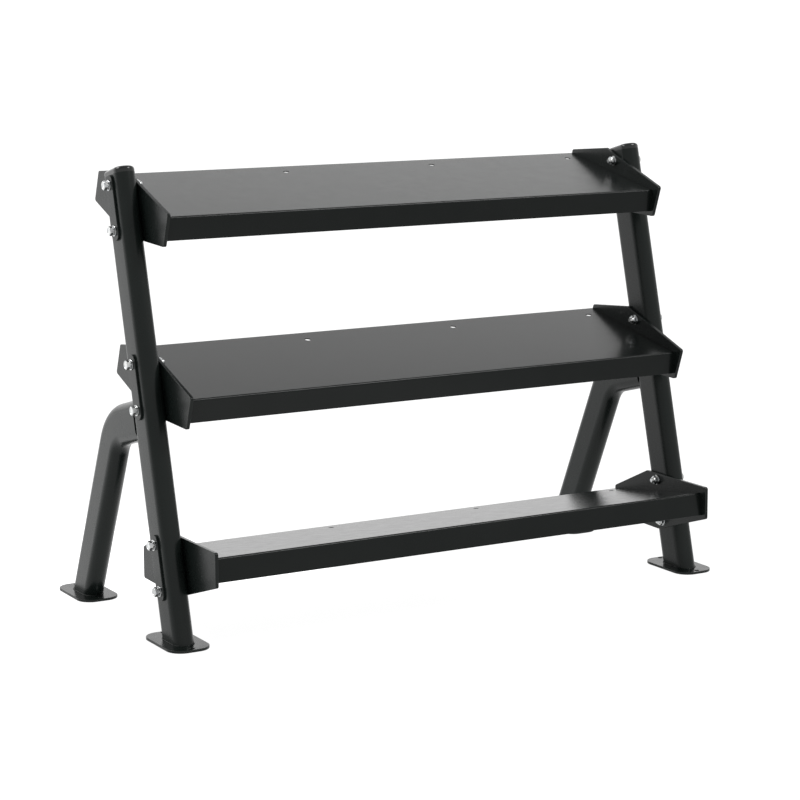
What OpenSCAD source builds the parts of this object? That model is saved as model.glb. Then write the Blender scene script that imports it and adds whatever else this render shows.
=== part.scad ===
// Three-tier dumbbell rack.
// Two leaning side frames of flat-oval steel tube carry three folded sheet trays.
// The trays are welded between end plates, and each end plate is bolted through an upright.
// X runs along the trays, Y runs from front to rear, Z is up; the floor is Z = 0.

/* [Side frames] */
// Clear length of a tray between its two end plates
tray_length = 1300; // [900:10:1600]
// Lean of the uprights towards the rear, in degrees
upright_lean = 14.8; // [12:0.1:18]
// Length of an upright along its centre line, measured from the floor
upright_length = 1044; // [1040:1:1200]
// Lean of the rear legs towards the front, in degrees
leg_lean = 24.6; // [20:0.1:28]
// Distance on the floor from the upright centre line to the rear leg centre line
leg_reach = 505; // [480:1:540]
// Height of the rear leg joint, along the upright centre line
leg_joint = 500; // [470:1:520]
// Centre-line radius of the rear leg bend
leg_bend_r = 105; // [85:1:130]

/* [Tube] */
// Width of the flat-oval tube, across its flat sides
tube_w = 49; // [40:1:56]
// Depth of the flat-oval tube, over its rounded edges
tube_d = 94; // [84:1:104]
// Tube wall thickness
tube_wall = 3; // [2:0.5:4]
// Height of the end cap on an upright
cap_t = 15; // [11:0.5:20]
// Radius of the rounded edge of an end cap
cap_r = 8; // [4:0.5:9]

/* [Foot plates] */
// Width of a foot plate
foot_w = 100; // [90:1:130]
// Length of a foot plate, front to rear
foot_l = 172; // [168:1:240]
// Foot plate thickness
foot_t = 6; // [4:1:10]
// Corner radius of a foot plate
foot_r = 36; // [10:1:40]
// Spacing of the two floor anchor holes
anchor_pitch = 150; // [140:1:150]
// Diameter of a floor anchor hole
anchor_d = 11; // [8:1:12]

/* [Trays] */
// Height of the lowest upper bolt, along the upright
first_bolt = 221; // [200:1:240]
// Distance from one tray to the next, along the upright
tray_pitch = 400.5; // [380:0.5:420]
// Slope of the top and middle decks, down towards the front, in degrees
deck_slope = 11.1; // [8:0.1:14]
// Backward tip of the bottom deck, in degrees
base_tip = 8.7; // [6:0.1:11]
// Depth of a deck from its front fold to its rear fold
deck_depth = 355; // [330:1:370]
// Height of the front lip
lip_h = 54.5; // [40:0.5:58]
// Height of the rear lip
rear_lip_h = 12; // [12:1:50]
// Sheet thickness of a tray
sheet_t = 2.5; // [2:0.5:4]
// Outer radius of the sheet folds
fold_r = 5; // [4.5:0.5:8]
// Diameter of a deck hole
deck_hole_d = 14; // [8:1:16]
// Spacing of the deck holes
deck_hole_pitch = 401; // [380:1:420]
// Distance of the hole row from the front fold
deck_hole_u = 304; // [280:1:310]

/* [End plates] */
// End plate thickness
plate_t = 8; // [5:1:10]
// Corner radius of an end plate
plate_r = 6; // [3:1:10]
// Height of the upper bolt above the deck
bolt_rise = 26.5; // [24:0.5:30]
// Distance between the two bolts of an end plate
bolt_pitch = 102; // [96:1:106]

/* [Straps and fasteners] */
// Width of a backing strap
strap_w = 36; // [34:1:44]
// Length of a strap past each bolt
strap_over = 22; // [19:1:26]
// Strap thickness
strap_t = 5; // [3:1:8]
// Bolt shank diameter
bolt_d = 12; // [10:1:12]
// Diameter of the bolt clearance holes
bolt_hole_d = 13; // [13:0.5:14]
// Washer outer diameter
washer_d = 24; // [22:1:28]
// Washer thickness
washer_t = 2.5; // [2:0.5:3]
// Outer diameter of a spring washer
spring_d = 20.5; // [19:0.5:22]
// Thickness of a spring washer
spring_t = 3.5; // [2.5:0.5:4]
// Distance across the flats of the bolt heads and nuts
hex_af = 19; // [17:1:19]
// Height of a bolt head
head_h = 8; // [6:0.5:9]
// Height of a lock nut
nut_h = 11; // [9:0.5:13]

/* [Hidden] */
$fn = 64;

LEFT = -1;
RIGHT = 1;
BASE = 0;
MIDDLE = 1;
TOP = 2;

// Stations across the rack, out from the middle plane
plate_x = tray_length / 2;
tube_x0 = plate_x + plate_t;
tube_xc = tube_x0 + tube_w / 2;
tube_x1 = tube_x0 + tube_w;
strap_x1 = tube_x1 + strap_t;
head_x = strap_x1 + washer_t + spring_t;

// Height of the upper bolt of a tray along the upright, and the tilt of its deck
function bolt_s(tier) = first_bolt + tier * tray_pitch;
function tilt(tier) = tier == BASE ? -base_tip : deck_slope;

// Upper bolt measured in the tray profile, whose origin is the front fold
bolt_u = 174;

// Point of a tray profile in the side view of the rack
function side_pt(tier, p) =
  let (s = bolt_s(tier), a = tilt(tier), u = p[0] - bolt_u, n = p[1] - bolt_rise)
  [s * sin(upright_lean) + u * cos(a) - n * sin(a),
   s * cos(upright_lean) + u * sin(a) + n * cos(a)];

// Outline of an end plate: six corners around the tray profile
plate_pts = [
  [356, 8], [214, 49], [-22.5, 13], [-11.5, -64], [184, -96], [367, -64.5]
];

// Lower bolt of a tray, measured in the tray profile
function lower_bolt(tier) =
  let (a = upright_lean + tilt(tier))
  [bolt_u - bolt_pitch * sin(a), bolt_rise - bolt_pitch * cos(a)];

// Front and rear ends of the rack, which put the origin under its middle
front_y = min([for (i = [0 : len(plate_pts) - 1])
  side_pt(BASE, round_centre(plate_pts, i, plate_r))[0]]) - plate_r;
front_foot_y = 5;
rear_foot_y = leg_reach - 2;
rear_y = rear_foot_y + foot_l / 2;
mid_y = (min(front_y, front_foot_y - foot_l / 2) + rear_y) / 2;

// Rear leg: where its two straight parts meet, and the tangent length of the bend
leg_turn = 90 - leg_lean - upright_lean;
stub_y0 = leg_joint * sin(upright_lean);
stub_z0 = leg_joint * cos(upright_lean);
leg_corner = (leg_reach - tan(leg_lean) * stub_z0 - stub_y0)
  / (cos(upright_lean) - tan(leg_lean) * sin(upright_lean));
bend_tangent = leg_bend_r * tan(leg_turn / 2);
stub_lap = 11.5; // reach of the stub over the rounded rear edge of the upright
stub_start = tube_d / 2 - stub_lap;
stub_end = leg_corner - bend_tangent;
bend_y = stub_y0 + stub_end * cos(upright_lean) - leg_bend_r * sin(upright_lean);
bend_z = stub_z0 - stub_end * sin(upright_lean) - leg_bend_r * cos(upright_lean);
leg_straight = (stub_z0 - leg_corner * sin(upright_lean)) / cos(leg_lean) - bend_tangent + 60;

// Rack coordinates: the side view starts at the upright centre line on the floor
module rack() {
  translate([0, -mid_y, 0]) children();
}

// Puts a drawing of the side view (Y, Z) upright, with its height along X
module side_view(x) {
  translate([x, 0, 0]) rotate([90, 0, 90]) children();
}

// Children drawn along the upright: Z follows its centre line from the floor
module along_upright(side) {
  translate([side * tube_xc, 0, 0]) rotate([-upright_lean, 0, 0]) children();
}

// Corner rounding of a convex outline, with the corners listed in order
function unit(v) = v / norm(v);
function corner(p, i) = p[(i + len(p)) % len(p)];
function dir_a(p, i) = unit(corner(p, i - 1) - p[i]);
function dir_b(p, i) = unit(corner(p, i + 1) - p[i]);
function half_angle(p, i) = acos(dir_a(p, i) * dir_b(p, i)) / 2;
function tangent_len(p, i, r) = r / tan(half_angle(p, i));
function round_centre(p, i, r) =
  p[i] + unit(dir_a(p, i) + dir_b(p, i)) * r / sin(half_angle(p, i));

// Outline with round corners, for rectangles
module rounded_outline(p, r) {
  n = len(p);
  polygon([
    for (i = [0 : n - 1])
      for (k = [0, 1])
        p[i] + (k == 0 ? dir_a(p, i) : dir_b(p, i)) * tangent_len(p, i, r)
  ]);
  for (i = [0 : n - 1])
    translate(round_centre(p, i, r)) circle(r);
}

// The same for blunt corners, with each corner arc drawn in short steps
function arc_pt(p, i, r, k, n) =
  let (c = round_centre(p, i, r),
       a = p[i] + dir_a(p, i) * tangent_len(p, i, r) - c,
       b = p[i] + dir_b(p, i) * tangent_len(p, i, r) - c,
       w = acos(a * b / (r * r)))
  c + (a * sin(w * (1 - k / n)) + b * sin(w * k / n)) / sin(w);

module blunt_outline(p, r) {
  steps = 6;
  polygon([
    for (i = [0 : len(p) - 1])
      for (k = [0 : steps])
        arc_pt(p, i, r, k, steps)
  ]);
}

function rect_pts(w, l) = [[-w / 2, -l / 2], [w / 2, -l / 2], [w / 2, l / 2], [-w / 2, l / 2]];

// Flat-oval section: two straight sides closed by half circles
module oval(w, d) {
  square([w, d - w], center = true);
  for (s = [-1, 1])
    translate([0, s * (d - w) / 2]) circle(w / 2);
}

module tube_section(gap = 0) {
  difference() {
    oval(tube_w - gap, tube_d - gap);
    oval(tube_w - 2 * tube_wall - gap, tube_d - 2 * tube_wall - gap);
  }
}

// Everything under the top face of the foot plates
module below_feet() {
  translate([-1000, -500, -200]) cube([2000, 1600, 200 + foot_t]);
}

// ---------------------------------------------------------------- side frames

module upright(side) {
  rack() difference() {
    along_upright(side) {
      difference() {
        linear_extrude(upright_length) tube_section();
        for (tier = [BASE : TOP])
          for (k = [0, 1])
            translate([-tube_w, 0, bolt_s(tier) - k * bolt_pitch])
              rotate([0, 90, 0]) cylinder(d = bolt_hole_d, h = 2 * tube_w);
      }
      translate([0, 0, -60]) linear_extrude(60) tube_section();
    }
    below_feet();
  }
}

// Half of the end cap's outline across the tube, from its middle to its rounded edge
module cap_outline() {
  square([tube_w / 2, cap_t - cap_r]);
  square([tube_w / 2 - cap_r, cap_t]);
  intersection() {
    translate([tube_w / 2 - cap_r, cap_t - cap_r]) circle(cap_r);
    square([tube_w / 2, cap_t]);
  }
}

// End cap: a button with a rounded edge over the tube, and a plug inside it
module upright_cap(side) {
  gap = 0.4;
  run = tube_d - tube_w;
  rack() along_upright(side) {
    translate([0, 0, upright_length]) {
      for (s = [-1, 1])
        translate([0, s * run / 2, 0]) rotate_extrude() cap_outline();
      translate([0, run / 2, 0]) rotate([90, 0, 0]) linear_extrude(run)
        for (m = [0, 1]) mirror([m, 0, 0]) cap_outline();
    }
    translate([0, 0, upright_length - 14]) linear_extrude(14)
      oval(tube_w - 2 * tube_wall - gap, tube_d - 2 * tube_wall - gap);
  }
}

// Straight stub, bend and straight leg, drawn from the bend centre outwards. The bend is a
// hair slimmer and laps into both straight parts, so the three fuse into one tube.
bend_gap = 0.06;
lap_angle = 0.6;
module leg_path(side) {
  side_view(side * tube_xc) translate([bend_y, bend_z]) rotate([0, 0, leg_lean]) {
    rotate([0, 0, -lap_angle]) rotate_extrude(angle = leg_turn + 2 * lap_angle)
      translate([leg_bend_r, 0]) rotate([0, 0, 90]) tube_section(bend_gap);
    translate([leg_bend_r, 0, 0]) rotate([90, 0, 0])
      linear_extrude(leg_straight) rotate([0, 0, 90]) tube_section();
    rotate([0, 0, leg_turn]) translate([leg_bend_r, 0, 0]) rotate([-90, 0, 0])
      linear_extrude(stub_end - stub_start) rotate([0, 0, 90]) tube_section();
  }
}

module rear_leg(side) {
  rack() difference() {
    leg_path(side);
    along_upright(side) translate([0, 0, leg_joint - tube_d])
      linear_extrude(2 * tube_d) oval(tube_w, tube_d);
    below_feet();
  }
}

module foot(side, y) {
  rack() translate([side * tube_xc, y, 0]) linear_extrude(foot_t) difference() {
    rounded_outline(rect_pts(foot_w, foot_l), foot_r);
    for (s = [-1, 1])
      translate([0, s * anchor_pitch / 2]) circle(d = anchor_d);
  }
}

// ---------------------------------------------------------------------- trays

// Quarter of a fold, centred on its own bend axis, from angle a to a + 90
module fold_quarter(a) {
  rotate([0, 0, a]) intersection() {
    difference() {
      circle(fold_r);
      circle(fold_r - sheet_t);
    }
    square(fold_r);
  }
}

// Folded profile: flat deck on top, lips turned down at the front and the rear
module tray_profile() {
  translate([fold_r, -sheet_t]) square([deck_depth - 2 * fold_r, sheet_t]);
  translate([0, -lip_h]) square([sheet_t, lip_h - fold_r]);
  translate([deck_depth - sheet_t, -rear_lip_h]) square([sheet_t, rear_lip_h - fold_r]);
  translate([fold_r, -fold_r]) fold_quarter(90);
  translate([deck_depth - fold_r, -fold_r]) fold_quarter(0);
}

// Places a tray profile drawing, or a solid built on it, in the side view
module on_tray(tier) {
  p = side_pt(tier, [0, 0]);
  translate([0, p[0], p[1]]) rotate([tilt(tier), 0, 0]) children();
}

module tray(tier) {
  rack() on_tray(tier) difference() {
    side_view(-plate_x) linear_extrude(tray_length) tray_profile();
    for (k = [-1.5 : 1 : 1.5])
      translate([k * deck_hole_pitch, deck_hole_u, -2 * sheet_t])
        cylinder(d = deck_hole_d, h = 3 * sheet_t);
  }
}

// Flat plate across the end of a tray, with its two bolt holes
module end_plate(tier, side) {
  x0 = side == LEFT ? -tube_x0 : plate_x;
  rack() on_tray(tier) side_view(x0) linear_extrude(plate_t) difference() {
    blunt_outline(plate_pts, plate_r);
    translate([bolt_u, bolt_rise]) circle(d = bolt_hole_d);
    translate(lower_bolt(tier)) circle(d = bolt_hole_d);
  }
}

// ------------------------------------------------------- straps and fasteners

// Strap behind the two bolts of an end plate, on the outer side of the upright
module strap(tier, side) {
  l = bolt_pitch + 2 * strap_over;
  x0 = side == LEFT ? -strap_x1 : tube_x1;
  rack() rotate([-upright_lean, 0, 0]) translate([x0, 0, bolt_s(tier) - bolt_pitch / 2])
    rotate([90, 0, 90]) linear_extrude(strap_t) difference() {
      rounded_outline(rect_pts(strap_w, l), 15);
      for (s = [-1, 1])
        translate([0, s * bolt_pitch / 2]) circle(d = bolt_hole_d);
    }
}

// Repeats its child at the twelve bolt lines, Z pointing away from the middle plane
module at_bolts() {
  rack() for (side = [LEFT, RIGHT])
    for (tier = [BASE : TOP])
      for (k = [0, 1])
        rotate([-upright_lean, 0, 0]) translate([0, 0, bolt_s(tier) - k * bolt_pitch])
          rotate([0, side * 90, 0]) children();
}

// Hexagonal prism with its outer corners turned down to a cone
module hex_body(h) {
  intersection() {
    cylinder(d = hex_af / cos(30), h = h, $fn = 6);
    union() {
      cylinder(d = hex_af / cos(30) + 1, h = h - 1.5);
      translate([0, 0, h - 1.5])
        cylinder(d1 = hex_af / cos(30) + 1, d2 = hex_af - 1.2, h = 1.5);
    }
  }
}

module bolts() {
  tip = plate_x - washer_t - nut_h - 4;
  at_bolts() {
    translate([0, 0, tip]) cylinder(d = bolt_d, h = head_x - tip);
    translate([0, 0, head_x]) hex_body(head_h);
  }
}

module washer(z) {
  translate([0, 0, z]) difference() {
    cylinder(d = washer_d, h = washer_t);
    translate([0, 0, -1]) cylinder(d = bolt_d + 0.6, h = washer_t + 2);
  }
}

// Spring washer with its slanted split
module springs() {
  at_bolts() translate([0, 0, head_x - spring_t]) difference() {
    cylinder(d = spring_d, h = spring_t);
    translate([0, 0, -1]) cylinder(d = bolt_d + 0.6, h = spring_t + 2);
    rotate([0, 0, 200]) translate([bolt_d / 2 - 1, -1, -spring_t])
      rotate([20, 0, 0]) cube([spring_d, 2, 4 * spring_t]);
  }
}

module washers_outside() {
  at_bolts() washer(strap_x1);
}

module washers_inside() {
  at_bolts() washer(plate_x - washer_t);
}

// Nut with the plain collar of its locking ring towards the bolt tip
module nuts() {
  collar = 3;
  at_bolts() translate([0, 0, plate_x - washer_t]) rotate([180, 0, 0]) difference() {
    union() {
      hex_body(nut_h - collar);
      cylinder(d = hex_af - 2.4, h = nut_h);
    }
    translate([0, 0, -1]) cylinder(d = bolt_d + 0.2, h = nut_h + 2);
  }
}

// ---------------------------------------------------------------------- nodes

module left_upright() { color("dimgray") upright(LEFT); }
module right_upright() { color("dimgray") upright(RIGHT); }
module left_upright_cap() { color("black") upright_cap(LEFT); }
module right_upright_cap() { color("black") upright_cap(RIGHT); }
module left_front_foot() { color("dimgray") foot(LEFT, front_foot_y); }
module right_front_foot() { color("dimgray") foot(RIGHT, front_foot_y); }
module left_rear_leg() { color("dimgray") rear_leg(LEFT); }
module right_rear_leg() { color("dimgray") rear_leg(RIGHT); }
module left_rear_foot() { color("dimgray") foot(LEFT, rear_foot_y); }
module right_rear_foot() { color("dimgray") foot(RIGHT, rear_foot_y); }
module top_tray() { color("slategray") tray(TOP); }
module middle_tray() { color("slategray") tray(MIDDLE); }
module bottom_tray() { color("slategray") tray(BASE); }
module top_left_end_plate() { color("gray") end_plate(TOP, LEFT); }
module top_right_end_plate() { color("gray") end_plate(TOP, RIGHT); }
module middle_left_end_plate() { color("gray") end_plate(MIDDLE, LEFT); }
module middle_right_end_plate() { color("gray") end_plate(MIDDLE, RIGHT); }
module bottom_left_end_plate() { color("gray") end_plate(BASE, LEFT); }
module bottom_right_end_plate() { color("gray") end_plate(BASE, RIGHT); }
module top_left_strap() { color("darkgray") strap(TOP, LEFT); }
module top_right_strap() { color("darkgray") strap(TOP, RIGHT); }
module middle_left_strap() { color("darkgray") strap(MIDDLE, LEFT); }
module middle_right_strap() { color("darkgray") strap(MIDDLE, RIGHT); }
module bottom_left_strap() { color("darkgray") strap(BASE, LEFT); }
module bottom_right_strap() { color("darkgray") strap(BASE, RIGHT); }
module tray_bolts() { color("silver") bolts(); }
module spring_washers() { color("silver") springs(); }
module outer_washers() { color("silver") washers_outside(); }
module inner_washers() { color("silver") washers_inside(); }
module lock_nuts() { color("silver") nuts(); }

left_upright();
right_upright();
left_upright_cap();
right_upright_cap();
left_front_foot();
right_front_foot();
left_rear_leg();
right_rear_leg();
left_rear_foot();
right_rear_foot();
top_tray();
middle_tray();
bottom_tray();
top_left_end_plate();
top_right_end_plate();
middle_left_end_plate();
middle_right_end_plate();
bottom_left_end_plate();
bottom_right_end_plate();
top_left_strap();
top_right_strap();
middle_left_strap();
middle_right_strap();
bottom_left_strap();
bottom_right_strap();
tray_bolts();
spring_washers();
outer_washers();
inner_washers();
lock_nuts();
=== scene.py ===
import math
import random

import bmesh
import bpy
from mathutils import Matrix, Vector
from mathutils.geometry import tessellate_polygon


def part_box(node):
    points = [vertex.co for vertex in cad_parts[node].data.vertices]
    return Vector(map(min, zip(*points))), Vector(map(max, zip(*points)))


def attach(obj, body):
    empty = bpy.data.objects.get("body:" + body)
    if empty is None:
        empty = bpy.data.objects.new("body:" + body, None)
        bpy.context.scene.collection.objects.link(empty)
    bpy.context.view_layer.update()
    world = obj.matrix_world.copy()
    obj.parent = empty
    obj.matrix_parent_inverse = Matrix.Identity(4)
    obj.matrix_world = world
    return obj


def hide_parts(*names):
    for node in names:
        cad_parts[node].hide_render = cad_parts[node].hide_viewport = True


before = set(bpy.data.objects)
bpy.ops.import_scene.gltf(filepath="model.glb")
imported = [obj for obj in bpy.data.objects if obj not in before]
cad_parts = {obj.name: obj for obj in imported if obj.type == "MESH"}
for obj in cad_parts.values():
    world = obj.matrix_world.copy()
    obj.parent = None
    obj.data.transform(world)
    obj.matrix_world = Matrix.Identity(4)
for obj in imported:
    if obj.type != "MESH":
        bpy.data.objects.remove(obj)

random.seed(7)


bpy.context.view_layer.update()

# ------------------------------------------------------------------ the rack's dimensions, in metres
MM = 0.001
LEAN = math.radians(14.8)           # uprights, back from the vertical
LEG_LEAN = math.radians(24.6)       # rear legs, forward from the vertical
PLATE_X, PLATE_T = 0.650, 0.008     # end plates: where the inner face is, and thickness
TUBE_W, TUBE_D, WALL = 0.049, 0.094, 0.003
SECTIONS = ((TUBE_W, TUBE_D), (TUBE_W - 2 * WALL, TUBE_D - 2 * WALL))
TUBE_XC = PLATE_X + PLATE_T + TUBE_W / 2
TUBE_X1 = PLATE_X + PLATE_T + TUBE_W
UP_LEN = 1.044
LEG_REACH, LEG_JOINT, BEND_R, STUB_LAP = 0.505, 0.500, 0.105, 0.0115
CAP_T, CAP_R, CAP_PLUG, CAP_PLAY = 0.015, 0.008, 0.014, 0.0004
FOOT_W, FOOT_L, FOOT_T, FOOT_R = 0.100, 0.172, 0.006, 0.036
ANCHOR_P, ANCHOR_R = 0.150, 0.0055
WELD_R, WELD_RIPPLE = 0.0014, 0.0028

# Upper bolts: the first one up the upright, and tier to tier. Each has a lower bolt BOLT_GAP below it
BOLT_S, PITCH, BOLT_GAP = 0.221, 0.4005, 0.102
BOLT_R, BOLT_HOLE_R = 0.006, 0.0065
BOLT_U, RISE = 0.174, 0.0265        # upper bolt, back from and above the tray's front corner
TILT = {"top": math.radians(11.1), "middle": math.radians(11.1), "bottom": math.radians(-8.7)}
TIER = {"bottom": 0, "middle": 1, "top": 2}
DEPTH, LIP, REAR_LIP, SHEET, FOLD = 0.355, 0.0545, 0.012, 0.0025, 0.005
HOLE_U, HOLE_P, HOLE_R = 0.304, 0.401, 0.007
PLATE_PTS = [(356, 8), (214, 49), (-22.5, 13), (-11.5, -64), (184, -96), (367, -64.5)]     # in mm
PLATE_R = 0.006
STRAP_W, STRAP_OVER, STRAP_R, STRAP_T = 0.036, 0.022, 0.015, 0.005
STRAP_X1 = TUBE_X1 + STRAP_T

AF, HEAD_H, NUT_H, NUT_COLLAR = 0.019, 0.008, 0.011, 0.003
HEX_CHAMFER = 0.0014
THREAD_PITCH, THREAD_OUT = 0.00175, 0.004
WASHER_T, WASHER_R, BORE_R = 0.0025, 0.012, 0.0063
SPRING_T, SPRING_R, SPRING_PLAY, SPRING_LIFT = 0.0035, 0.01025, 0.0002, 0.0003
SMALL_EDGE = 0.0004                 # eased edge of the sheet, washers and spring washers

OVAL_STEPS = 20                     # steps round each half circle of the tube's section
NARROW = 0.0007                     # faces no wider than this carry the coat's edge wear and its painted highlight line

# The upright's centre line meets the floor 5 mm in front of the middle of the front foot plate
foot_lo, foot_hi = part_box("left_front_foot")
FOOT_Y = (foot_lo.y + foot_hi.y) / 2
Y0 = FOOT_Y - 0.005
rear_lo, rear_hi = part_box("left_rear_foot")
Y1 = (rear_lo.y + rear_hi.y) / 2
UP = Vector((0, math.sin(LEAN), math.cos(LEAN)))
BACK = Vector((0, math.cos(LEAN), -math.sin(LEAN)))


def along(side, s, v=0.0, x=0.0):
    """Point beside an upright: s up its centre line, v towards the rear, x across."""
    return Vector((side * TUBE_XC + x, Y0, 0)) + UP * s + BACK * v


def tray_axes(tier):
    """A tray's front corner, its direction towards the rear and its normal."""
    a = TILT[tier]
    u = Vector((0, math.cos(a), math.sin(a)))
    n = Vector((0, -math.sin(a), math.cos(a)))
    bolt = Vector((0, Y0, 0)) + UP * (BOLT_S + TIER[tier] * PITCH)
    return bolt - u * BOLT_U - n * RISE, u, n


# ------------------------------------------------------------------ mesh helpers
def arc(cx, cy, r, a0, a1, n):
    return [(cx + r * math.cos(a0 + (a1 - a0) * i / n), cy + r * math.sin(a0 + (a1 - a0) * i / n))
            for i in range(n + 1)]


def circle(cx, cy, r, n):
    return arc(cx, cy, r, 0, 2 * math.pi * (n - 1) / n, n - 1)


def oval_loop(w, d, n=OVAL_STEPS):
    """Flat oval, counter-clockwise, w across x and d across y."""
    r, h = w / 2, (d - w) / 2
    return arc(0, h, r, 0, math.pi, n) + arc(0, -h, r, math.pi, 2 * math.pi, n)


def ring(bm, pts):
    return [bm.verts.new(p) for p in pts]


def round_ring(bm, put, r, z, n):
    """Ring of n vertices about the axis of put."""
    return ring(bm, [put(r * math.cos(2 * math.pi * i / n), r * math.sin(2 * math.pi * i / n), z)
                     for i in range(n)])


def bridge(bm, a, b, skip=()):
    """Wall of quads between two rings, without the runs named in skip."""
    n = len(a)
    for i in range(n):
        if i not in skip:
            j = (i + 1) % n
            bm.faces.new((a[i], a[j], b[j], b[i]))


def chain(bm, rings, closed=False):
    """Walls from each ring to the next, and from the last to the first if closed."""
    for a, b in zip(rings, rings[1:] + (rings[:1] if closed else [])):
        bridge(bm, a, b)


def fill(bm, loops):
    """Flat face with holes, from loops of vertices."""
    flat = [v for loop in loops for v in loop]
    for tri in tessellate_polygon([[v.co for v in loop] for loop in loops]):
        if len(set(tri)) == 3:
            bm.faces.new([flat[i] for i in tri])


def finish_piece(name, bm, mat, nodes, angle):
    """Turns the mesh into a piece, with its narrow faces marked in the "edge" colour attribute."""
    bmesh.ops.remove_doubles(bm, verts=bm.verts, dist=1e-6)
    bmesh.ops.recalc_face_normals(bm, faces=bm.faces)
    layer = bm.loops.layers.float_color.new("edge")
    for f in bm.faces:
        longest = max(e.calc_length() for e in f.edges)
        narrow = 1.0 if len(f.verts) == 4 and f.calc_area() < NARROW * longest else 0.0
        for lp in f.loops:
            lp[layer] = (narrow, narrow, narrow, 1.0)
    me = bpy.data.meshes.new(name)
    bm.to_mesh(me)
    bm.free()
    me.shade_smooth()
    me.set_sharp_from_angle(angle=math.radians(angle))
    me.materials.append(mat)
    ob = bpy.data.objects.new(name, me)
    bpy.context.scene.collection.objects.link(ob)
    flat = ob.modifiers.new("flat_faces_stay_flat", "WEIGHTED_NORMAL")
    flat.keep_sharp = True
    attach(ob, "root")
    if nodes:
        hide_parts(*nodes)


def round_pts(pts, r, inset, n):
    """Convex outline with round corners of radius r, moved inwards by inset."""
    out = []
    for i, pt in enumerate(pts):
        p = Vector(pt)
        a = (Vector(pts[i - 1]) - p).normalized()
        b = (Vector(pts[(i + 1) % len(pts)]) - p).normalized()
        half = math.acos(max(-1, min(1, a.dot(b)))) / 2
        centre = p + (a + b).normalized() * (r / math.sin(half))
        ta = (p + a * (r / math.tan(half)) - centre).normalized()
        tb = (p + b * (r / math.tan(half)) - centre).normalized()
        w = math.acos(max(-1, min(1, ta.dot(tb))))
        for k in range(n + 1):
            t = k / n
            d = (ta * math.sin(w * (1 - t)) + tb * math.sin(w * t)) / math.sin(w)
            q = centre + d * (r - inset)
            out.append((q.x, q.y))
    return out


def plate(bm, pts, r, holes, t, place, edge, n):
    """Flat plate with round corners, eased edges and round holes. place(x, y, z) puts a point."""
    turns = [math.pi / 2 * k / 3 for k in range(4)]
    steps = [(edge * (1 - math.sin(a)), edge * (1 - math.cos(a))) for a in turns]
    levels = steps + [(e, t - z) for e, z in reversed(steps)]
    outer = [ring(bm, [place(x, y, z) for x, y in round_pts(pts, r, e, n)]) for e, z in levels]
    bores = [[ring(bm, [place(x, y, z) for x, y in circle(hx, hy, hr + e, 32)]) for e, z in levels]
             for hx, hy, hr in holes]
    chain(bm, outer)
    for bore in bores:
        chain(bm, bore[::-1])
    fill(bm, [outer[0]] + [bore[0] for bore in bores])
    fill(bm, [outer[-1]] + [bore[-1] for bore in bores])


# ------------------------------------------------------------------ materials
def new_material(name):
    """Material, its node tree, its shader and the object coordinates."""
    m = bpy.data.materials.new(name)
    m.use_nodes = True
    nt = m.node_tree
    return m, nt, nt.nodes["Principled BSDF"], nt.nodes.new("ShaderNodeTexCoord").outputs["Object"]


def noise(nt, coord, scale, detail=3.0, rough=0.5):
    n = nt.nodes.new("ShaderNodeTexNoise")
    n.inputs["Scale"].default_value = scale
    n.inputs["Detail"].default_value = detail
    n.inputs["Roughness"].default_value = rough
    nt.links.new(coord, n.inputs["Vector"])
    return n.outputs["Fac"]


def remap(nt, value, a, b, c, d):
    n = nt.nodes.new("ShaderNodeMapRange")
    n.inputs["From Min"].default_value = a
    n.inputs["From Max"].default_value = b
    n.inputs["To Min"].default_value = c
    n.inputs["To Max"].default_value = d
    nt.links.new(value, n.inputs["Value"])
    return n.outputs["Result"]


def mix_rgb(nt, fac, a, b):
    n = nt.nodes.new("ShaderNodeMix")
    n.data_type = "RGBA"
    nt.links.new(fac, n.inputs["Factor"])
    for sock, v in ((n.inputs["A"], a), (n.inputs["B"], b)):
        if isinstance(v, tuple):
            sock.default_value = v
        else:
            nt.links.new(v, sock)
    return n.outputs["Result"]


def math_node(nt, op, a, b):
    n = nt.nodes.new("ShaderNodeMath")
    n.operation = op
    for sock, v in ((n.inputs[0], a), (n.inputs[1], b)):
        if isinstance(v, (int, float)):
            sock.default_value = v
        else:
            nt.links.new(v, sock)
    return n.outputs[0]


def bump(nt, height, strength, distance, normal=None):
    n = nt.nodes.new("ShaderNodeBump")
    n.inputs["Strength"].default_value = strength
    n.inputs["Distance"].default_value = distance
    nt.links.new(height, n.inputs["Height"])
    if normal is not None:
        nt.links.new(normal, n.inputs["Normal"])
    return n.outputs["Normal"]


def clouded(nt, obj, scale, detail, lo, hi):
    """Number that drifts between lo and hi over the surface."""
    return remap(nt, noise(nt, obj, scale, detail), 0.3, 0.7, lo, hi)


COAT_IOR = 1.28
# paler grey for narrow edges: partly rubbed wear, partly a painted highlight
WORN_AND_HIGHLIGHT_COLOUR = (0.11, 0.115, 0.115, 1)
EDGE_WEAR_AND_HIGHLIGHT = 0.10


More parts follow.
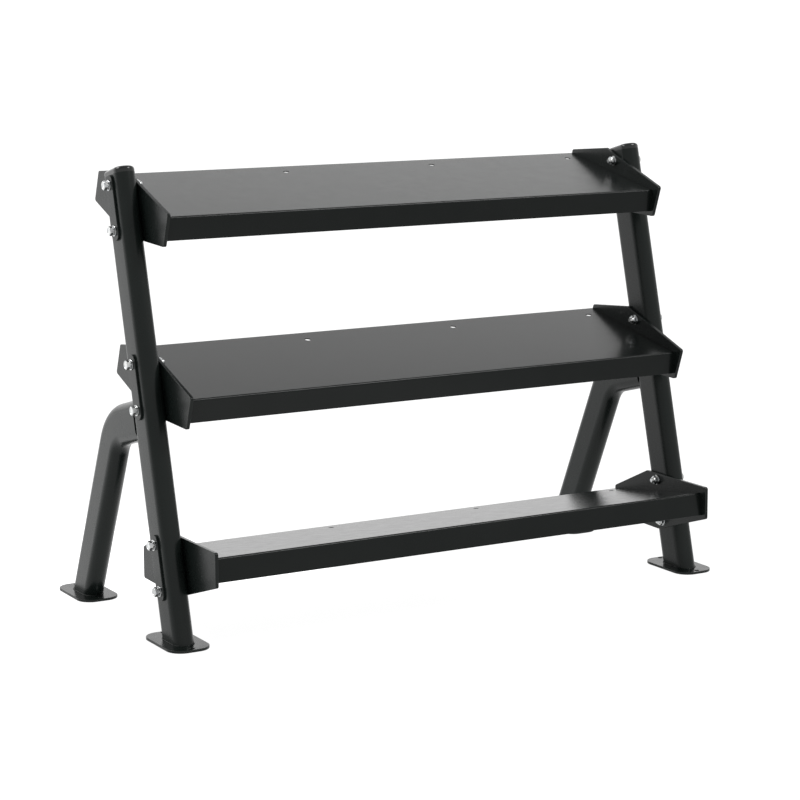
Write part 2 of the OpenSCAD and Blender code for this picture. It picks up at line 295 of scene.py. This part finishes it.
def powder_coat(name, dark, light, rough_lo, rough_hi, peel, wave):
    """Black powder coat with orange peel, a slow wave in the sheet under it, and narrow edges lightened as
    rubbed wear and as a painted highlight line.
    """
    m, nt, bsdf, obj = new_material(name)
    edge = nt.nodes.new("ShaderNodeAttribute")
    edge.attribute_name = "edge"
    # narrow faces turn paler: rubbed wear and a painted highlight line along the edges
    wear_and_highlight = math_node(nt, "MULTIPLY", edge.outputs["Fac"],
                     remap(nt, noise(nt, obj, 60.0, 4.0), 0.40, 0.62, 0.25, 1.0))
    col = mix_rgb(nt, clouded(nt, obj, 9.0, 3.0, 0.0, 1.0), dark, light)
    col = mix_rgb(nt, math_node(nt, "MULTIPLY", wear_and_highlight, EDGE_WEAR_AND_HIGHLIGHT), col, WORN_AND_HIGHLIGHT_COLOUR)
    nt.links.new(col, bsdf.inputs["Base Color"])
    r = math_node(nt, "ADD", clouded(nt, obj, 35.0, 4.0, rough_lo, rough_hi),
                  clouded(nt, obj, 900.0, 2.0, -0.015, 0.015))
    nt.links.new(r, bsdf.inputs["Roughness"])
    bsdf.inputs["IOR"].default_value = COAT_IOR
    slow = bump(nt, noise(nt, obj, 5.0, 2.0), wave, 0.0012)
    fine = bump(nt, noise(nt, obj, 420.0, 2.0, 0.55), peel, 0.00012, slow)
    nt.links.new(fine, bsdf.inputs["Normal"])
    return m


def zinc(name):
    m, nt, bsdf, obj = new_material(name)
    col = mix_rgb(nt, clouded(nt, obj, 160.0, 4.0, 0.0, 1.0), (0.42, 0.44, 0.46, 1), (0.66, 0.66, 0.64, 1))
    nt.links.new(col, bsdf.inputs["Base Color"])
    bsdf.inputs["Metallic"].default_value = 1.0
    nt.links.new(clouded(nt, obj, 420.0, 3.0, 0.14, 0.30), bsdf.inputs["Roughness"])
    nt.links.new(bump(nt, noise(nt, obj, 900.0, 3.0), 0.25, 0.00006), bsdf.inputs["Normal"])
    return m


def plastic(name):
    m, nt, bsdf, obj = new_material(name)
    col = mix_rgb(nt, clouded(nt, obj, 30.0, 3.0, 0.0, 1.0),
                  (0.0045, 0.0058, 0.0054, 1), (0.0070, 0.0084, 0.0080, 1))
    nt.links.new(col, bsdf.inputs["Base Color"])
    nt.links.new(clouded(nt, obj, 120.0, 3.0, 0.17, 0.23), bsdf.inputs["Roughness"])
    nt.links.new(bump(nt, noise(nt, obj, 1300.0, 2.0), 0.15, 0.00003), bsdf.inputs["Normal"])
    return m


FRAME_COAT = powder_coat("frame_powder_coat", (0.0055, 0.0080, 0.0072, 1), (0.0080, 0.0105, 0.0096, 1),
                         0.23, 0.28, peel=0.22, wave=0.02)
TRAY_COAT = powder_coat("deck_powder_coat", (0.0040, 0.0055, 0.0050, 1), (0.0056, 0.0072, 0.0066, 1),
                        0.22, 0.25, peel=0.05, wave=0.01)
PLATE_COAT = powder_coat("plate_powder_coat", (0.0050, 0.0070, 0.0064, 1), (0.0072, 0.0094, 0.0087, 1),
                         0.23, 0.28, peel=0.22, wave=0.02)
WELD_COAT = powder_coat("weld_powder_coat", (0.0050, 0.0070, 0.0064, 1), (0.0072, 0.0094, 0.0087, 1),
                        0.34, 0.44, peel=0.4, wave=0.1)
ZINC = zinc("bright_zinc")
CAP = plastic("cap_moulded_plastic")


# ------------------------------------------------------------------ uprights
def upright(side, label):
    """Hollow flat-oval tube, cut level above the foot plate and square at the top, with six bolt holes."""
    bm = bmesh.new()

    def foot_pt(x, v):
        return along(side, (FOOT_T + v * math.sin(LEAN)) / math.cos(LEAN), v, x)

    def top_pt(x, v):
        return along(side, UP_LEN, v, x)

    shells = [[ring(bm, [end(x, v) for x, v in oval_loop(w, d)]) for end in (foot_pt, top_pt)]
              for w, d in SECTIONS]
    (out0, out1), (in0, in1) = shells
    flats = (OVAL_STEPS, 2 * OVAL_STEPS + 1)    # the two straight runs of the section
    bridge(bm, out0, out1, skip=flats)
    bridge(bm, in1, in0, skip=flats)
    bridge(bm, out1, in1)
    bridge(bm, in0, out0)
    for a, sx in zip(flats, (-1, 1)):
        b = (a + 1) % len(out0)
        holes_out, holes_in = [], []
        for tier in range(3):
            for k in (0, 1):
                pts = circle(0, BOLT_S + tier * PITCH - k * BOLT_GAP, BOLT_HOLE_R, 24)
                hole_out = ring(bm, [along(side, s, v, sx * TUBE_W / 2) for v, s in pts])
                hole_in = ring(bm, [along(side, s, v, sx * (TUBE_W / 2 - WALL)) for v, s in pts])
                bridge(bm, hole_out, hole_in)
                holes_out.append(hole_out)
                holes_in.append(hole_in)
        fill(bm, [[out0[a], out0[b], out1[b], out1[a]]] + holes_out)
        fill(bm, [[in0[a], in0[b], in1[b], in1[a]]] + holes_in)
    finish_piece(label + "_upright_tube", bm, FRAME_COAT, [label + "_upright"], 40)


# ------------------------------------------------------------------ rear legs
def leg_path():
    """Stations along the leg in side view: centre (y, z) and direction. The last two share a centre."""
    turn = math.pi / 2 - LEG_LEAN - LEAN
    sy, sz = LEG_JOINT * math.sin(LEAN), LEG_JOINT * math.cos(LEAN)
    corner = ((LEG_REACH - math.tan(LEG_LEAN) * sz - sy)
              / (math.cos(LEAN) - math.tan(LEG_LEAN) * math.sin(LEAN)))
    end = corner - BEND_R * math.tan(turn / 2)
    d0 = Vector((math.cos(LEAN), -math.sin(LEAN)))
    joint = Vector((sy, sz))
    stations = [(joint + d0 * (TUBE_D / 2 - STUB_LAP), d0), (joint + d0 * end, d0)]
    centre = joint + d0 * end + Vector((-math.sin(LEAN), -math.cos(LEAN))) * BEND_R
    steps = 18
    for k in range(1, steps + 1):
        ang = -LEAN - turn * k / steps
        normal = Vector((-math.sin(ang), math.cos(ang)))
        stations.append((centre + normal * BEND_R, Vector((math.cos(ang), math.sin(ang)))))
    return stations + [stations[-1]]


def rear_leg(side, label):
    """Hollow bent tube. Its front end follows the upright's round rear, and its lower end is cut level."""
    bm = bmesh.new()
    stations = leg_path()
    start, oval_half, r = TUBE_D / 2 - STUB_LAP, (TUBE_D - TUBE_W) / 2, TUBE_W / 2
    shells = []
    for w, d in SECTIONS:
        rings = []
        for k, (centre, direction) in enumerate(stations):
            normal = Vector((-direction.y, direction.x))
            pts = []
            for x, v in oval_loop(w, d):
                p = centre + normal * v
                if k == 0:
                    reach = max(start, oval_half + math.sqrt(max(0.0, r ** 2 - x * x)) + 0.0001)
                    p = p + direction * (reach - start)
                if k == len(stations) - 1:
                    p = p + direction * ((p.y - FOOT_T) / -direction.y)
                pts.append(Vector((side * TUBE_XC + x, Y0 + p.x, p.y)))
            rings.append(ring(bm, pts))
        shells.append(rings)
    outer, inner = shells
    chain(bm, outer)
    chain(bm, inner[::-1])
    bridge(bm, inner[0], outer[0])
    bridge(bm, outer[-1], inner[-1])
    finish_piece(label + "_rear_leg_tube", bm, FRAME_COAT, [label + "_rear_leg"], 40)


# ------------------------------------------------------------------ caps
def upright_cap(side, label):
    """Plug inside the tube, and a rounded crown on its end."""
    bm = bmesh.new()
    w, d = (across - CAP_PLAY for across in SECTIONS[1])
    rings = [ring(bm, [along(side, UP_LEN + z, v, x) for x, v in oval_loop(w - taper, d - taper)])
             for z, taper in ((-CAP_PLUG, 0.001), (0.0005 - CAP_PLUG, 0.0), (0.0, 0.0))]
    crown = [(0.0006, 0.0), (0.0001, 0.0002), (0.0, 0.0007), (0.0, CAP_T - CAP_R)]      # inset, height
    crown += [(CAP_R - CAP_R * math.cos(t), CAP_T - CAP_R + (CAP_R - 0.0006) * math.sin(t))
              for t in [math.pi / 2 * k / 10 for k in range(1, 11)]]
    crown += [(0.012, CAP_T - 0.0003), (0.017, CAP_T - 0.0001), (0.0225, CAP_T)]
    for e, z in crown:
        rings.append(ring(bm, [along(side, UP_LEN + z, v, x)
                               for x, v in oval_loop(TUBE_W - 2 * e, TUBE_D - 2 * e)]))
    chain(bm, rings)
    bm.faces.new(rings[-1])
    bm.faces.new(rings[0][::-1])
    finish_piece(label + "_upright_cap_moulding", bm, CAP, [label + "_upright_cap"], 35)


# ------------------------------------------------------------------ foot plates and their welds
def foot(side, y, label):
    bm = bmesh.new()
    w, l = FOOT_W / 2, FOOT_L / 2
    holes = [(0, -ANCHOR_P / 2, ANCHOR_R), (0, ANCHOR_P / 2, ANCHOR_R)]

    def place(a, b, z):
        return Vector((side * TUBE_XC + a, y + b, z))

    plate(bm, [(-w, -l), (w, -l), (w, l), (-w, l)], FOOT_R, holes, FOOT_T, place, 0.0009, 14)
    finish_piece(label + "_plate", bm, PLATE_COAT, [label], 40)


def bead(bm, path, radius, pitch, n=8):
    """Weld bead along a closed path of (point, outward, upward) triples, rippled like stacked drops."""
    rings = []
    length = 0.0
    last = path[0][0]
    turns = [2 * math.pi * k / n for k in range(n)]
    for p, o, u in path:
        length += (p - last).length
        last = p
        r = radius * (1 + 0.10 * math.sin(2 * math.pi * length / pitch))
        rings.append(ring(bm, [p + o * (r * math.cos(a)) + u * (r * math.sin(a)) for a in turns]))
    chain(bm, rings, closed=True)


def foot_weld(side, rear, label):
    """Bead where a tube stands on its foot plate."""
    bm = bmesh.new()
    loop = oval_loop(TUBE_W, TUBE_D, 60)
    dense = []
    for (x, v), (x2, v2) in zip(loop, loop[1:] + loop[:1]):
        steps = max(1, int(math.hypot(x2 - x, v2 - v) / 0.0012))
        dense += [(x + (x2 - x) * k / steps, v + (v2 - v) * k / steps) for k in range(steps)]
    lean = -LEG_LEAN if rear else LEAN
    cy = (Y0 + LEG_REACH if rear else Y0) + FOOT_T * math.tan(lean)
    stretch = 1 / math.cos(lean)        # the level cut is longer than the tube is deep
    path = []
    for x, v in dense:
        past = math.copysign(max(0, abs(v) - (TUBE_D - TUBE_W) / 2), v) * stretch
        o = Vector((x, past, 0)).normalized()
        p = Vector((side * TUBE_XC + x, cy + v * stretch, FOOT_T + 0.0002)) + o * 0.0004
        path.append((p, o, Vector((0, 0, 1))))
    bead(bm, path, WELD_R, WELD_RIPPLE)
    finish_piece(label + "_weld", bm, WELD_COAT, [], 60)


# ------------------------------------------------------------------ trays, end plates and straps
def tray(tier):
    """Folded sheet between the end plates, with a front and a rear lip and a row of four holes."""
    bm = bmesh.new()
    o, u, n = tray_axes(tier)
    e = SMALL_EDGE
    fold = 8
    # outer surface, from the front lip's edge over the deck to the rear lip's edge
    prof = [(e, -LIP), (0.0, -LIP + e)]
    prof += arc(FOLD, -FOLD, FOLD, math.pi, math.pi / 2, fold)
    top_run = len(prof) - 1
    prof += arc(DEPTH - FOLD, -FOLD, FOLD, math.pi / 2, 0, fold)
    prof += [(DEPTH, -REAR_LIP + e), (DEPTH - e, -REAR_LIP)]
    # inner surface, back to the front lip
    prof += [(DEPTH - SHEET + e, -REAR_LIP), (DEPTH - SHEET, -REAR_LIP + e)]
    prof += arc(DEPTH - FOLD, -FOLD, FOLD - SHEET, 0, math.pi / 2, fold)
    low_run = len(prof) - 1
    prof += arc(FOLD, -FOLD, FOLD - SHEET, math.pi / 2, math.pi, fold)
    prof += [(SHEET, -LIP + e), (SHEET - e, -LIP)]

    def place(x, a, b):
        return o + u * a + n * b + Vector((x, 0, 0))

    xe = PLATE_X - 0.0001
    left = ring(bm, [place(-xe, a, b) for a, b in prof])
    right = ring(bm, [place(xe, a, b) for a, b in prof])
    bridge(bm, left, right, skip=(top_run, low_run))
    bm.faces.new(left[::-1])
    bm.faces.new(right)
    es = 0.0005
    bore = ((HOLE_R + es, 0), (HOLE_R + es * 0.3, -es * 0.3), (HOLE_R, -es), (HOLE_R, -SHEET + es),
            (HOLE_R + es, -SHEET))
    tops, lows = [], []
    for k in (-1.5, -0.5, 0.5, 1.5):
        levels = [ring(bm, [place(x, v, z) for x, v in circle(k * HOLE_P, HOLE_U, r, 32)]) for r, z in bore]
        chain(bm, levels)
        tops.append(levels[0])
        lows.append(levels[-1])
    for run, holes in ((top_run, tops), (low_run, lows)):
        fill(bm, [[left[run], left[run + 1], right[run + 1], right[run]]] + holes)
    finish_piece(tier + "_tray_sheet", bm, TRAY_COAT, [tier + "_tray"], 25)


def end_plate(tier, side, label):
    bm = bmesh.new()
    o, u, n = tray_axes(tier)
    a = LEAN + TILT[tier]
    low = (BOLT_U - BOLT_GAP * math.sin(a), RISE - BOLT_GAP * math.cos(a))
    pts = [(p * MM, q * MM) for p, q in PLATE_PTS]
    holes = [(BOLT_U, RISE, BOLT_HOLE_R), (low[0], low[1], BOLT_HOLE_R)]
    x0 = PLATE_X if side > 0 else -PLATE_X - PLATE_T

    def place(p, q, z):
        return o + u * p + n * q + Vector((x0 + z, 0, 0))

    plate(bm, pts, PLATE_R, holes, PLATE_T, place, 0.0010, 6)
    finish_piece(f"{tier}_{label}_end_plate_steel", bm, PLATE_COAT, [f"{tier}_{label}_end_plate"],
                 25)


def strap(tier, side, label):
    bm = bmesh.new()
    s = BOLT_S + TIER[tier] * PITCH - BOLT_GAP / 2
    w, l = STRAP_W / 2, BOLT_GAP / 2 + STRAP_OVER
    holes = [(0, -BOLT_GAP / 2, BOLT_HOLE_R), (0, BOLT_GAP / 2, BOLT_HOLE_R)]
    x0 = TUBE_W / 2 if side > 0 else -TUBE_W / 2 - STRAP_T

    def place(p, q, z):
        return along(side, s + q, p, x0 + z)

    plate(bm, [(-w, -l), (w, -l), (w, l), (-w, l)], STRAP_R, holes, STRAP_T, place, 0.0008, 10)
    finish_piece(f"{tier}_{label}_strap_steel", bm, FRAME_COAT, [f"{tier}_{label}_strap"],
                 30)


# ------------------------------------------------------------------ fasteners
def bolt_places():
    for side in (-1, 1):
        for tier in range(3):
            for k in (0, 1):
                s = BOLT_S + tier * PITCH - k * BOLT_GAP
                turn = random.uniform(-0.05, 0.05)
                yield side, s, turn


def placer(side, s, turn):
    """Function that puts a point of a fastener: a and b across its axis, z outwards along it."""
    c, d = math.cos(turn), math.sin(turn)
    base = Vector((0, Y0, 0)) + UP * s

    def put(a, b, z):
        p, q = a * c - b * d, a * d + b * c
        return base + BACK * p + UP * q + Vector((side * z, 0, 0))

    return put


def hex_radius(ang):
    a = (ang + math.pi / 6) % (math.pi / 3) - math.pi / 6
    return AF / 2 / math.cos(a)


def hex_solid(bm, put, z0, h, n=72):
    """Walls of a hexagonal body of height h, whose corners are turned down at the top."""
    corner = AF / 2 / math.cos(math.pi / 6)
    c = HEX_CHAMFER
    rings = []
    for z in (0.0, 0.0003, h - c * 2.2, h - c * 1.4, h - c * 0.7, h - 0.0002, h):
        limit = corner + 0.0002 - max(0.0, z - (h - c)) * 1.55
        if z > h - c * 2.5:
            limit = min(limit, (h - z) / 0.577 + AF / 2 - 0.0006)
        pts = []
        for i in range(n):
            t = 2 * math.pi * i / n
            r = min(hex_radius(t) - (0.0003 if z == 0.0 else 0.0), limit)
            pts.append(put(r * math.cos(t), r * math.sin(t), z0 + z))
        rings.append(ring(bm, pts))
    chain(bm, rings)
    return rings


def bolt(bm, put):
    """Hexagonal head with a shallow dished top, and a shank with thread turns at its tip."""
    z0 = STRAP_X1 + WASHER_T + SPRING_T
    head = hex_solid(bm, put, z0, HEAD_H)
    n = len(head[0])
    dish = ((0.0074, -0.0001), (0.0070, -0.0006), (0.0030, -0.0007))
    top = [head[-1]] + [round_ring(bm, put, r, z0 + HEAD_H + dz, n) for r, dz in dish]
    chain(bm, top)
    bm.faces.new(top[-1])
    tip = PLATE_X - WASHER_T - NUT_H - THREAD_OUT
    z = PLATE_X - WASHER_T
    shank = [(BOLT_R, z0), (BOLT_R, z + 0.001)]
    while z > tip + 0.0016:
        shank += [(0.00595, z), (0.0052, z - THREAD_PITCH / 2)]
        z -= THREAD_PITCH
    shank += [(0.0054, tip + 0.0012), (0.0046, tip)]
    rings = [round_ring(bm, put, r, z, n) for r, z in reversed(shank)] + [head[0]]
    chain(bm, rings)
    bm.faces.new(rings[0][::-1])


def washer(bm, put, z0):
    e = SMALL_EDGE
    prof = [(BORE_R, 0), (WASHER_R - e, 0), (WASHER_R, e), (WASHER_R, WASHER_T - e),
            (WASHER_R - e, WASHER_T), (BORE_R + e, WASHER_T), (BORE_R, WASHER_T - e)]
    chain(bm, [round_ring(bm, put, r, z0 + z, 40) for r, z in prof], closed=True)


def spring_washer(bm, put, n=40):
    """Thick ring, split at one side with its ends a little apart."""
    e, lo, hi = SMALL_EDGE, SPRING_PLAY, SPRING_T - SPRING_PLAY
    prof = [(BORE_R, lo + e), (BORE_R + e, lo), (SPRING_R - e, lo), (SPRING_R, lo + e),
            (SPRING_R, hi - e), (SPRING_R - e, hi), (BORE_R + e, hi), (BORE_R, hi - e)]
    z0 = STRAP_X1 + WASHER_T
    rings = []
    for i in range(n + 1):
        t = math.radians(205) + math.radians(352) * i / n
        lift = SPRING_LIFT * (i / n - 0.5)
        rings.append(ring(bm, [put(r * math.cos(t), r * math.sin(t), z0 + z + lift) for r, z in prof]))
    chain(bm, rings)
    bm.faces.new(rings[0][::-1])
    bm.faces.new(rings[-1])


def lock_nut(bm, put):
    """Hexagon towards the end plate and a plain collar towards the bolt's tip."""
    def inwards(a, b, z):
        return put(a, b, PLATE_X - WASHER_T - z)

    hexagon = hex_solid(bm, inwards, 0.0, NUT_H - NUT_COLLAR)
    collar = [(0.0082, 0.0080), (0.0082, 0.0098), (0.0078, 0.0106), (0.0070, NUT_H), (0.0062, NUT_H),
              (0.0061, 0.0104), (0.0061, 0.0)]
    rings = [round_ring(bm, inwards, r, z, len(hexagon[0])) for r, z in collar]
    chain(bm, [hexagon[-1]] + rings + [hexagon[0]])


def fasteners():
    bolts, outer, inner, nuts, springs = (bmesh.new() for _ in range(5))
    for side, s, turn in bolt_places():
        put = placer(side, s, turn)
        bolt(bolts, put)
        washer(outer, put, STRAP_X1)
        washer(inner, put, PLATE_X - WASHER_T)
        spring_washer(springs, put)
        lock_nut(nuts, put)
    finish_piece("tray_bolt_set", bolts, ZINC, ["tray_bolts"], 30)
    finish_piece("spring_washer_set", springs, ZINC, ["spring_washers"], 30)
    finish_piece("outer_washer_set", outer, ZINC, ["outer_washers"], 30)
    finish_piece("inner_washer_set", inner, ZINC, ["inner_washers"], 30)
    finish_piece("lock_nut_set", nuts, ZINC, ["lock_nuts"], 30)


for side, label in ((-1, "left"), (1, "right")):
    upright(side, label)
    upright_cap(side, label)
    rear_leg(side, label)
    foot(side, FOOT_Y, label + "_front_foot")
    foot(side, Y1, label + "_rear_foot")
    foot_weld(side, False, label + "_front_foot")
    foot_weld(side, True, label + "_rear_foot")
    for tier in ("top", "middle", "bottom"):
        end_plate(tier, side, label)
        strap(tier, side, label)
for tier in ("top", "middle", "bottom"):
    tray(tier)
fasteners()

# ------------------------------------------------------------------ floor, surroundings, lights, camera
# Brightness by bearing round the rack: 0 is straight behind it, negative is to its left, in degrees
FLOOR_BY_BEARING = [(-180, 0.97), (-76, 0.97), (-64, 1.45), (-35, 1.45), (-26, 1.60), (-14, 1.05),
                    (180, 0.97)]
WALL_BY_BEARING = [(-180, 0.62), (-80, 0.40), (-68, 0.40), (-60, 1.0), (32, 1.02), (60, 0.85), (90, 0.5),
                   (130, 0.55), (180, 0.62)]
# Brightness by the height of the direction: -1 is straight down, 0 is level, 1 is straight up
WALL_BY_HEIGHT = [(-1.0, 1.0), (0.02, 1.3), (0.15, 1.75), (0.28, 1.65), (0.41, 1.2), (0.5, 0.9), (1.0, 0.9)]

FLOOR_HALF = 400.0
FLOOR_DROP = 0.0004                     # keeps the floor clear of the foot plates' undersides
FLOOR_DIM_WAY = (0.77, -0.638)          # the floor is dimmer towards the front right,
FLOOR_DIM_FROM, FLOOR_DIM_TO = 0.95, 1.40       # between these distances from the middle,
FLOOR_DIM = 0.60                        # down to this share

CAM = Vector((-2.83892, -4.89023, 1.46163))
YAW, PITCH_DOWN, ROLL = math.radians(30.2397), math.radians(10.1722), math.radians(-0.0294)
LENS, SENSOR = 108.4296, 36.0


def curve(nt, value, points):
    """Curve through (input, output) points."""
    n = nt.nodes.new("ShaderNodeFloatCurve")
    c = n.mapping.curves[0]
    lo, hi = points[0][0], points[-1][0]
    top = max(p[1] for p in points)
    c.points[0].location = (0, points[0][1] / top)
    c.points[1].location = (1, points[-1][1] / top)
    for x, y in points[1:-1]:
        c.points.new((x - lo) / (hi - lo), y / top)
    for p in c.points:
        p.handle_type = "VECTOR"
    n.mapping.update()
    nt.links.new(remap(nt, value, lo, hi, 0.0, 1.0), n.inputs["Value"])
    return math_node(nt, "MULTIPLY", n.outputs["Value"], top)


def split(nt, vector):
    n = nt.nodes.new("ShaderNodeSeparateXYZ")
    nt.links.new(vector, n.inputs[0])
    return n.outputs


def surround(nt, place, by_bearing):
    """Brightness of a place or direction by its bearing round the rack."""
    at = split(nt, place)
    bearing = math_node(nt, "ARCTAN2", at["X"], at["Y"])
    return curve(nt, math_node(nt, "MULTIPLY", bearing, 180 / math.pi), by_bearing)


def floor_plane():
    bm = bmesh.new()
    s = FLOOR_HALF
    bm.faces.new(ring(bm, [(x, y, -FLOOR_DROP) for x, y in ((-s, -s), (s, -s), (s, s), (-s, s))]))
    me = bpy.data.meshes.new("floor")
    bm.to_mesh(me)
    bm.free()
    m, nt, bsdf, place = new_material("glowing_floor")
    # The floor's white is its own glow, set by bearing and dimmer to the front right, and this glow also
    # lights the rack; its dark base colour lets almost no cast shadow show.
    bsdf.inputs["Base Color"].default_value = (0.06, 0.06, 0.06, 1)
    bsdf.inputs["Roughness"].default_value = 0.9
    bsdf.inputs["Specular IOR Level"].default_value = 0.1
    bsdf.inputs["Emission Color"].default_value = (1, 1, 1, 1)
    at = split(nt, place)
    aside = math_node(nt, "ADD", math_node(nt, "MULTIPLY", at["X"], FLOOR_DIM_WAY[0]),
                      math_node(nt, "MULTIPLY", at["Y"], FLOOR_DIM_WAY[1]))
    dimmed = remap(nt, aside, FLOOR_DIM_FROM, FLOOR_DIM_TO, 1.0, FLOOR_DIM)
    nt.links.new(math_node(nt, "MULTIPLY", surround(nt, place, FLOOR_BY_BEARING), dimmed),
                 bsdf.inputs["Emission Strength"])
    me.materials.append(m)
    ob = bpy.data.objects.new("floor", me)
    bpy.context.scene.collection.objects.link(ob)


def studio_world():
    world = bpy.data.worlds.new("studio")
    bpy.context.scene.world = world
    world.use_nodes = True
    wt = world.node_tree
    bg = wt.nodes["Background"]
    toward = wt.nodes.new("ShaderNodeTexCoord").outputs["Generated"]
    by_height = curve(wt, split(wt, toward)["Z"], WALL_BY_HEIGHT)
    wt.links.new(math_node(wt, "MULTIPLY", surround(wt, toward, WALL_BY_BEARING), by_height),
                 bg.inputs["Strength"])
    bg.inputs["Color"].default_value = (1, 1, 1, 1)


def soft_light(name, loc, target=(0, 0, 1.0), size_x=2.4, size_y=1.6, watts=170):
    light = bpy.data.lights.new(name, "AREA")
    light.shape = "RECTANGLE"
    light.size, light.size_y = size_x, size_y
    light.energy = watts
    ob = bpy.data.objects.new(name, light)
    ob.location = loc
    ob.rotation_euler = (Vector(target) - Vector(loc)).to_track_quat("-Z", "Y").to_euler()
    bpy.context.scene.collection.objects.link(ob)


def camera():
    """Camera at CAM, turned YAW to the right of +Y, PITCH_DOWN below level and ROLL about its axis."""
    fwd = Vector((math.sin(YAW) * math.cos(PITCH_DOWN), math.cos(YAW) * math.cos(PITCH_DOWN),
                  -math.sin(PITCH_DOWN)))
    level = Vector((math.cos(YAW), -math.sin(YAW), 0))
    up = level.cross(fwd)
    r = level * math.cos(ROLL) + up * math.sin(ROLL)
    u = up * math.cos(ROLL) - level * math.sin(ROLL)
    cam = bpy.data.cameras.new("camera")
    cam.lens = LENS
    cam.sensor_width = SENSOR
    ob = bpy.data.objects.new("camera", cam)
    ob.matrix_world = Matrix(((r.x, u.x, -fwd.x, CAM.x), (r.y, u.y, -fwd.y, CAM.y),
                              (r.z, u.z, -fwd.z, CAM.z), (0, 0, 0, 1)))
    bpy.context.scene.collection.objects.link(ob)
    bpy.context.scene.camera = ob


floor_plane()
bpy.context.scene.view_settings.view_transform = "Standard"
studio_world()
soft_light("left_soft", (-4.0, 1.9, 5.0))
soft_light("front_soft", (2.9, -3.4, 5.0))
camera()
